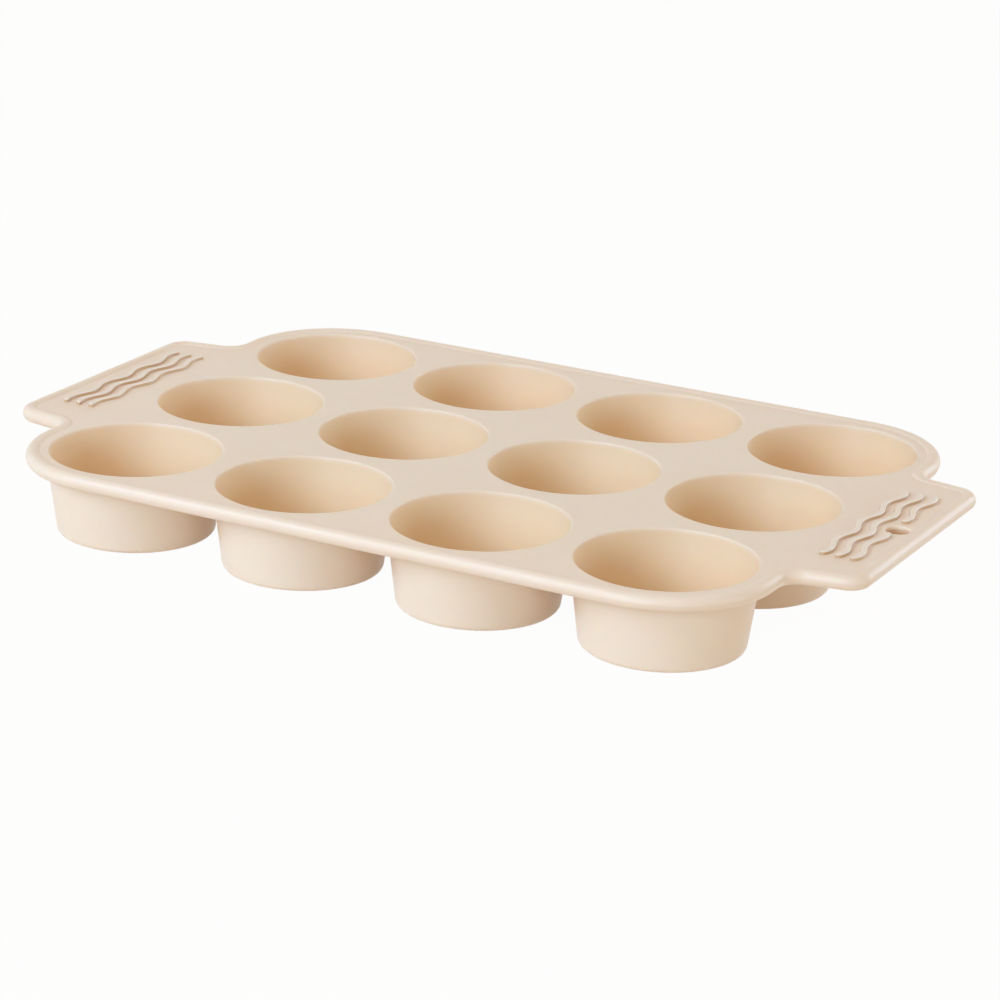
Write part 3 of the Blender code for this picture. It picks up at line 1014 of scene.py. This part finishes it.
@dataclass(frozen=True)
class Silicone(Finish):
    """Warm beige satin silicone: light goes a little way in, and the mould left a fine even grain.

    A noise is its scale, detail and roughness, and a bump its noise's scale, its height and its strength. A
    pair of lengths is where a mask's edge starts and ends. Those of lip, side, crown and bore_top are heights
    over the deck, bore_deep is a depth under it, bore_edge starts from the flare, box_x from the middle rib,
    and wall_edge from the middle of the wall. Light and shade are painted into the base colour: a deeper
    orange shade inside the cups, a dark shade on the ribs' sides and down in the hanging hole, and a
    highlight along the ribs' upper edges.
    """

    name: str = "beige_silicone"
    deck: Deck = Deck()
    cup: Cup = Cup()
    handle: Handle = Handle()
    colour: Colour = (0.945, 0.782, 0.618, 1.0)
    warm: Colour = (0.935, 0.765, 0.592, 1.0)
    # painted shade: a deeper, more orange tone that the insides of the cups take
    painted_cup_shade: Colour = (0.925, 0.715, 0.482, 1.0)
    # painted highlight colour for the ribs' upper edges
    crown: Colour = (0.98, 0.90, 0.79, 1.0)
    # painted shade colour for the ribs' sides and down in the hanging hole
    crease: Colour = (0.60, 0.36, 0.16, 1.0)
    mark: Colour = (0.80, 0.58, 0.38, 1.0)
    painted_shade_strength: float = 0.85
    mark_share: float = 0.6
    roughness: float = 0.37
    patch_roughness: float = 0.08
    cloud_roughness: float = 0.05
    crown_gloss: float = 0.03
    refraction: float = 1.45
    milk: float = 0.25
    milk_radius: Many = (1.0, 0.45, 0.18)
    depth: float = 4.0 * MM
    cloud: Many = (22.0, 3.0)
    patch: Many = (160.0, 4.0, 0.6)
    cloud_part: float = 0.7
    shade_edge: Many = (0.35, 0.65)
    grain: Many = (3200.0, 0.012 * MM, 0.5)
    peel: Many = (420.0, 0.03 * MM, 0.35)
    dent: Many = (0.4 * MM, 0.8)
    pins: tuple[Many, ...] = (mm(0.0, 117.8), mm(116.25, 117.8), mm(184.0, 30.0))
    pin_edge: Many = mm(0.72, 1.035)
    pin_height: Many = mm(29.0, 29.4)
    wall_edge: Many = mm(-0.2, 0.2)
    floor_edge: Many = mm(0.64, 0.96)
    lip_edge: Many = mm(-2.2, -0.2)
    rim_edge: Many = mm(-1.0, 0.0)
    # heights of the painted shade band on the ribs' sides
    side_foot: Many = mm(0.01, 0.06)
    side_top: Many = mm(0.95, 1.18)
    # heights of the painted highlight band on the ribs' upper edges; crown_loss takes most of it off their
    # flat tops
    crown_foot: Many = mm(1.0, 1.12)
    crown_top: Many = mm(1.31, 1.358)
    crown_loss: float = 0.75
    box_x: Many = mm(9.4, 9.7)
    box_y: Many = mm(43.6, 44.0)
    # where the painted shade lies in the hanging hole, and how much of it starts under the lip
    bore_edge: Many = mm(-0.4, 0.0)
    bore_top: Many = mm(-1.1, -0.2)
    bore_deep: Many = mm(1.2, 2.6)
    bore_share: float = 0.35

    def _pin_marks(self, bench: Bench, spot: list[Tap]) -> Tap:
        """1 on the small round marks that the mould's support pins leave under the bead, else 0.

        Each mark is a soft disc about its pin: the plan distance sqrt((|x| - px)^2 + (|y| - py)^2), ramped
        down at the mark's edge, and kept to the underside by a ramp of the height.

        Args:
            bench: The node bench.
            spot: X, Y and Z.

        Returns:
            The share.
        """
        near: Any = 1.0
        for pin_x, pin_y in self.pins:
            across, along = spot[0].size() - pin_x, spot[1].size() - pin_y
            near = (across * across + along * along).root().smaller(near)
        return bench.fade(near, *self.pin_edge) * bench.fade(spot[2], *self.pin_height)

    def _painted_cup_shade_share(self, bench: Bench, spot: list[Tap]) -> Tap:
        """Where the cups' painted shade goes: 1 on their insides, fading to 0 over the lip, else 0.

        The plan is folded onto one pitch, so that the nearest cup's axis is the middle. A point is inside
        where its distance from that axis is less than the middle of the wall at its height, it stands above
        the middle of the floor, and it isn't beyond the outer cups' pitch.

        Args:
            bench: The node bench.
            spot: X, Y and Z.

        Returns:
            The share.
        """
        (x, y, z), deck, cup = spot, self.deck, self.cup
        across, along = (
            ((line / deck.pitch + count % 2 / 2).fraction() - 0.5) * deck.pitch
            for line, count in ((x, deck.columns), (y, deck.rows))
        )
        reach = (across * across + along * along).root()
        in_wall = bench.fade(reach - (z * cup.slope + (cup.base - cup.wall / 2)), *self.wall_edge)
        above = bench.ramp(z, *self.floor_edge)
        under_lip = bench.fade(z - deck.top, *self.lip_edge)
        beyond = (x.size() - (deck.last_x + deck.half)).bigger(y.size() - (deck.last_y + deck.half))
        return in_wall * above * under_lip * bench.fade(beyond, *self.rim_edge)

    def _painted_shade_share(self, bench: Bench, spot: list[Tap]) -> Tap:
        """Where the painted shade goes: 1 on the steep sides of the ribs and low down in the hanging hole,
        else 0.

        The sides of the ribs are the points just over the deck in a box about them, and the hole's are the
        points under the deck at less than the flare's distance from its axis.

        Args:
            bench: The node bench.
            spot: X, Y and Z.

        Returns:
            The share.
        """
        (x, y, z), handle = spot, self.handle
        over = z - self.deck.top
        side = bench.ramp(over, *self.side_foot) * bench.fade(over, *self.side_top)
        off_row = (x.size() - handle.ribs.reaches[1]).size()
        box = bench.fade(off_row, *self.box_x) * bench.fade(y.size(), *self.box_y)
        off_axis = x - handle.hole_x
        reach = (off_axis * off_axis + y * y).root() - handle.hole.flare
        bore = bench.fade(reach, *self.bore_edge) * bench.fade(over, *self.bore_top)
        bore = bore * (self.bore_share + (1 - self.bore_share) * bench.ramp(-1.0 * over, *self.bore_deep))
        return (side * box).bigger(bore)

    def shader(self, bench: Bench) -> Tap:
        """The finish's own shader.

        Args:
            bench: The node bench.

        Returns:
            The shader.
        """
        place = bench.place()
        spot = bench.split(place)
        over = spot[2] - self.deck.top
        # painted highlight: a lighter band along the ribs' upper edges, mostly off their flat tops
        painted_highlight_share = bench.ramp(over, *self.crown_foot)
        painted_highlight_share = painted_highlight_share * (1.0 - self.crown_loss * bench.ramp(over, *self.crown_top))
        cloud, patch = bench.noise(place, *self.cloud), bench.noise(place, *self.patch)
        shade = bench.ramp(cloud * self.cloud_part + patch * (1 - self.cloud_part), *self.shade_edge)
        marks = self._pin_marks(bench, spot)
        # painted shade: the insides of the cups take the deeper orange tone
        plain = bench.mix(self._painted_cup_shade_share(bench, spot), bench.mix(shade, self.colour, self.warm), self.painted_cup_shade)
        # painted shade: the ribs' sides and the hanging hole darken towards the crease colour
        deep = self._painted_shade_share(bench, spot) * self.painted_shade_strength
        relief = bench.mix(deep, bench.mix(painted_highlight_share, plain, self.crown), self.crease)
        normal = None
        for scale, height, strength in (self.grain, self.peel):
            normal = bench.bump(bench.noise(place, scale), height, strength, normal)
        uneven = (patch - 0.5) * self.patch_roughness + (cloud - 0.5) * self.cloud_roughness
        return bench.node("ShaderNodeBsdfPrincipled", {"subsurface_method": "RANDOM_WALK"}, {
            "Base Color": bench.mix(marks * self.mark_share, relief, self.mark),
            "Roughness": self.roughness + uneven - painted_highlight_share * self.crown_gloss,
            "IOR": self.refraction,
            "Subsurface Weight": self.milk,
            "Subsurface Radius": self.milk_radius,
            "Subsurface Scale": self.depth,
            "Normal": bench.bump(1.0 - marks, *self.dent, normal),
        })


@dataclass(frozen=True)
class SpringSteel(Finish):
    """Drawn steel wire with faint lines along it."""

    name: str = "spring_steel"
    colour: Colour = (0.55, 0.56, 0.57, 1.0)
    dull: Colour = (0.48, 0.48, 0.49, 1.0)
    dull_scale: float = 60.0
    lines: Many = (900.0, 3.0)
    line_bump: Many = (0.01 * MM, 0.4)
    roughness: float = 0.26
    line_roughness: float = 0.12

    def shader(self, bench: Bench) -> Tap:
        """The finish's own shader.

        Args:
            bench: The node bench.

        Returns:
            The shader.
        """
        place = bench.place()
        lines = bench.noise(place, *self.lines)
        return bench.node("ShaderNodeBsdfPrincipled", {}, {
            "Base Color": bench.mix(bench.noise(place, self.dull_scale), self.colour, self.dull),
            "Metallic": 1.0,
            "Roughness": self.roughness + lines * self.line_roughness,
            "Normal": bench.bump(lines, *self.line_bump),
        })


@dataclass(frozen=True)
class Paper(Finish):
    """The white sweep, lit from below: white to the camera and in reflections, with a very pale shadow."""

    name: str = "white_sweep"
    tone: Colour = (0.69, 0.61, 0.52, 1.0)
    light_tone: Colour = (0.71, 0.63, 0.54, 1.0)
    tone_scale: float = 30.0
    shadow_share: float = 0.04
    under_glow: float = 0.16
    under_colour: Colour = (1.0, 0.75, 0.50, 1.0)

    def shader(self, bench: Bench) -> Tap:
        """The finish's own shader.

        Args:
            bench: The node bench.

        Returns:
            The shader.
        """
        tone = bench.mix(bench.noise(bench.place(), self.tone_scale), self.tone, self.light_tone)
        matt = bench.node("ShaderNodeBsdfDiffuse", {}, {"Color": tone})
        lit = {"Color": self.under_colour, "Strength": self.under_glow}
        under = bench.node("ShaderNodeEmission", {}, lit)
        sheet = bench.node("ShaderNodeAddShader", {}, {0: matt, 1: under})
        glow = bench.node("ShaderNodeEmission", {}, {"Color": WHITE, "Strength": 1.0})
        seen = bench.ray("Camera", "Glossy") * (1 - self.shadow_share)
        return bench.node("ShaderNodeMixShader", {}, {0: seen, 1: sheet, 2: glow})


@dataclass(frozen=True)
class RimWire:
    """The steel wire loop inside the bead: the CAD node stays and gets its steel."""

    node: str = "rim_wire"
    steel: SpringSteel = SpringSteel()

    def dress(self) -> None:
        """Gives the wire its finish."""
        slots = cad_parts[self.node].data.materials
        slots.clear()
        slots.append(self.steel.material())
        LOG.info("%s: dressed", self.node)


@dataclass(frozen=True)
class Lamp:
    """One square soft lamp that looks at the pan."""

    name: str
    azimuth: float
    elevation: float
    power: float
    size: float = 1.0
    distance: float = 2.6
    colour: tuple[float, float, float] = (0.54, 0.735, 1.0)

    def hang(self) -> None:
        """Makes the lamp: its back axis points away from the pan along its bearing."""
        light = bpy.data.lights.new(self.name, "AREA")
        light.shape = "SQUARE"
        light.size = self.size
        light.energy = self.power
        light.color = self.colour
        turn, lift = math.radians(self.azimuth), math.radians(self.elevation)
        back = np.array([math.cos(turn) * math.cos(lift), math.sin(turn) * math.cos(lift), math.sin(lift)])
        side = np.cross((0.0, 0.0, 1.0), back)
        side /= np.linalg.norm(side)
        add_object(self.name, light, [side, np.cross(back, side), back, back * self.distance])


@dataclass(frozen=True)
class Studio:
    """Floor, backdrop, lamps and camera: cool soft lamps in a warm room."""

    azimuth: float = 27.59
    elevation: float = 18.85
    roll: float = 1.925
    distance: float = 1.3344
    aim: Many = mm(33.64, -52.48, 33.04)
    lens: float = 125.51
    sensor: float = 36.0
    clip: Many = (0.01, 50.0)
    room_level: float = 0.52
    room_rise: Many = (0.1, 0.4)
    room_colour: Colour = (1.0, 0.80, 0.58, 1.0)
    floor_half: float = 6.0
    floor_gap: float = 0.05 * MM
    paper: Paper = Paper()
    lamps: tuple[Lamp, ...] = (
        Lamp("key_lamp", 235.0, 33.0, 30.0),
        Lamp("front_lamp", 268.0, 18.0, 30.5),
        Lamp("back_right_lamp", 58.0, 14.0, 28.5, 1.5, colour=(0.58, 0.76, 1.0)),
        Lamp("right_lamp", 2.0, 5.0, 12.0, 0.7, colour=(0.72, 0.87, 1.0)),
    )

    def floor(self) -> None:
        """Lays a wide flat floor sheet and marks it as the stage."""
        mesh = bpy.data.meshes.new("floor_sheet")
        reach, low = self.floor_half, -self.floor_gap
        corners = [(-reach, -reach, low), (reach, -reach, low), (reach, reach, low), (-reach, reach, low)]
        mesh.from_pydata(corners, [], [(0, 1, 2, 3)])
        mesh.materials.append(self.paper.material())
        add_object("floor_sheet", mesh)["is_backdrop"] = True

    def backdrop(self) -> None:
        """White to the camera and in reflections; for other rays a warm room, dark near the horizon."""
        world = bpy.data.worlds.new("studio_room")
        world.use_nodes = True
        bpy.context.scene.world = world
        bench = Bench(world.node_tree)
        seen = bench.ray("Camera", "Glossy", "Transmission")
        bearing = bench.node("ShaderNodeTexCoord", {}, {}, "Generated")
        level = bench.ramp(bench.split(bearing)[2], *self.room_rise) * self.room_level
        colour = bench.mix(seen, self.room_colour, WHITE)
        strength = level + (1.0 - level) * seen
        glow = bench.node("ShaderNodeBackground", {}, {"Color": colour, "Strength": strength})
        bench.node("ShaderNodeOutputWorld", {}, {"Surface": glow})

    def camera(self) -> None:
        """Sets the camera: it looks along its bearing at the aim point and is rolled about its own axis."""
        turn, lift, tilt = (math.radians(a) for a in (self.azimuth, self.elevation, self.roll))
        back = np.array([math.sin(turn) * math.cos(lift), -math.cos(turn) * math.cos(lift), math.sin(lift)])
        level = np.array([math.cos(turn), math.sin(turn), 0.0])
        upright = np.cross(back, level)
        right = math.cos(tilt) * level + math.sin(tilt) * upright
        up = math.cos(tilt) * upright - math.sin(tilt) * level
        lens = bpy.data.cameras.new("photo_camera")
        lens.lens = self.lens
        lens.sensor_width = self.sensor
        lens.clip_start, lens.clip_end = self.clip
        spot = np.array(self.aim) + back * self.distance
        bpy.context.scene.camera = add_object("photo_camera", lens, [right, up, back, spot])

    def build(self) -> None:
        """Builds the whole studio."""
        bpy.context.scene.view_settings.view_transform = "Standard"
        self.floor()
        self.backdrop()
        for lamp in self.lamps:
            lamp.hang()
        self.camera()
        LOG.info("studio: floor, room, %d lamps and camera", len(self.lamps))


def keep_sizes() -> None:
    low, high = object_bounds()
    boxes = ([round(side / MM, 2) for side in b - a] for a, b in ((CAD_LOW, CAD_HIGH), (low, high)))
    LOG.info("boxes in mm: CAD %s, visual %s", *boxes)


def main() -> None:
    """Builds and dresses every piece in order."""
    logging.basicConfig(level=logging.INFO, format="%(message)s")
    moulding = Moulding().build()
    moulding.data.materials.append(Silicone().material())
    RimWire().dress()
    Studio().build()
    keep_sizes()


if __name__ == "__main__":
    main()
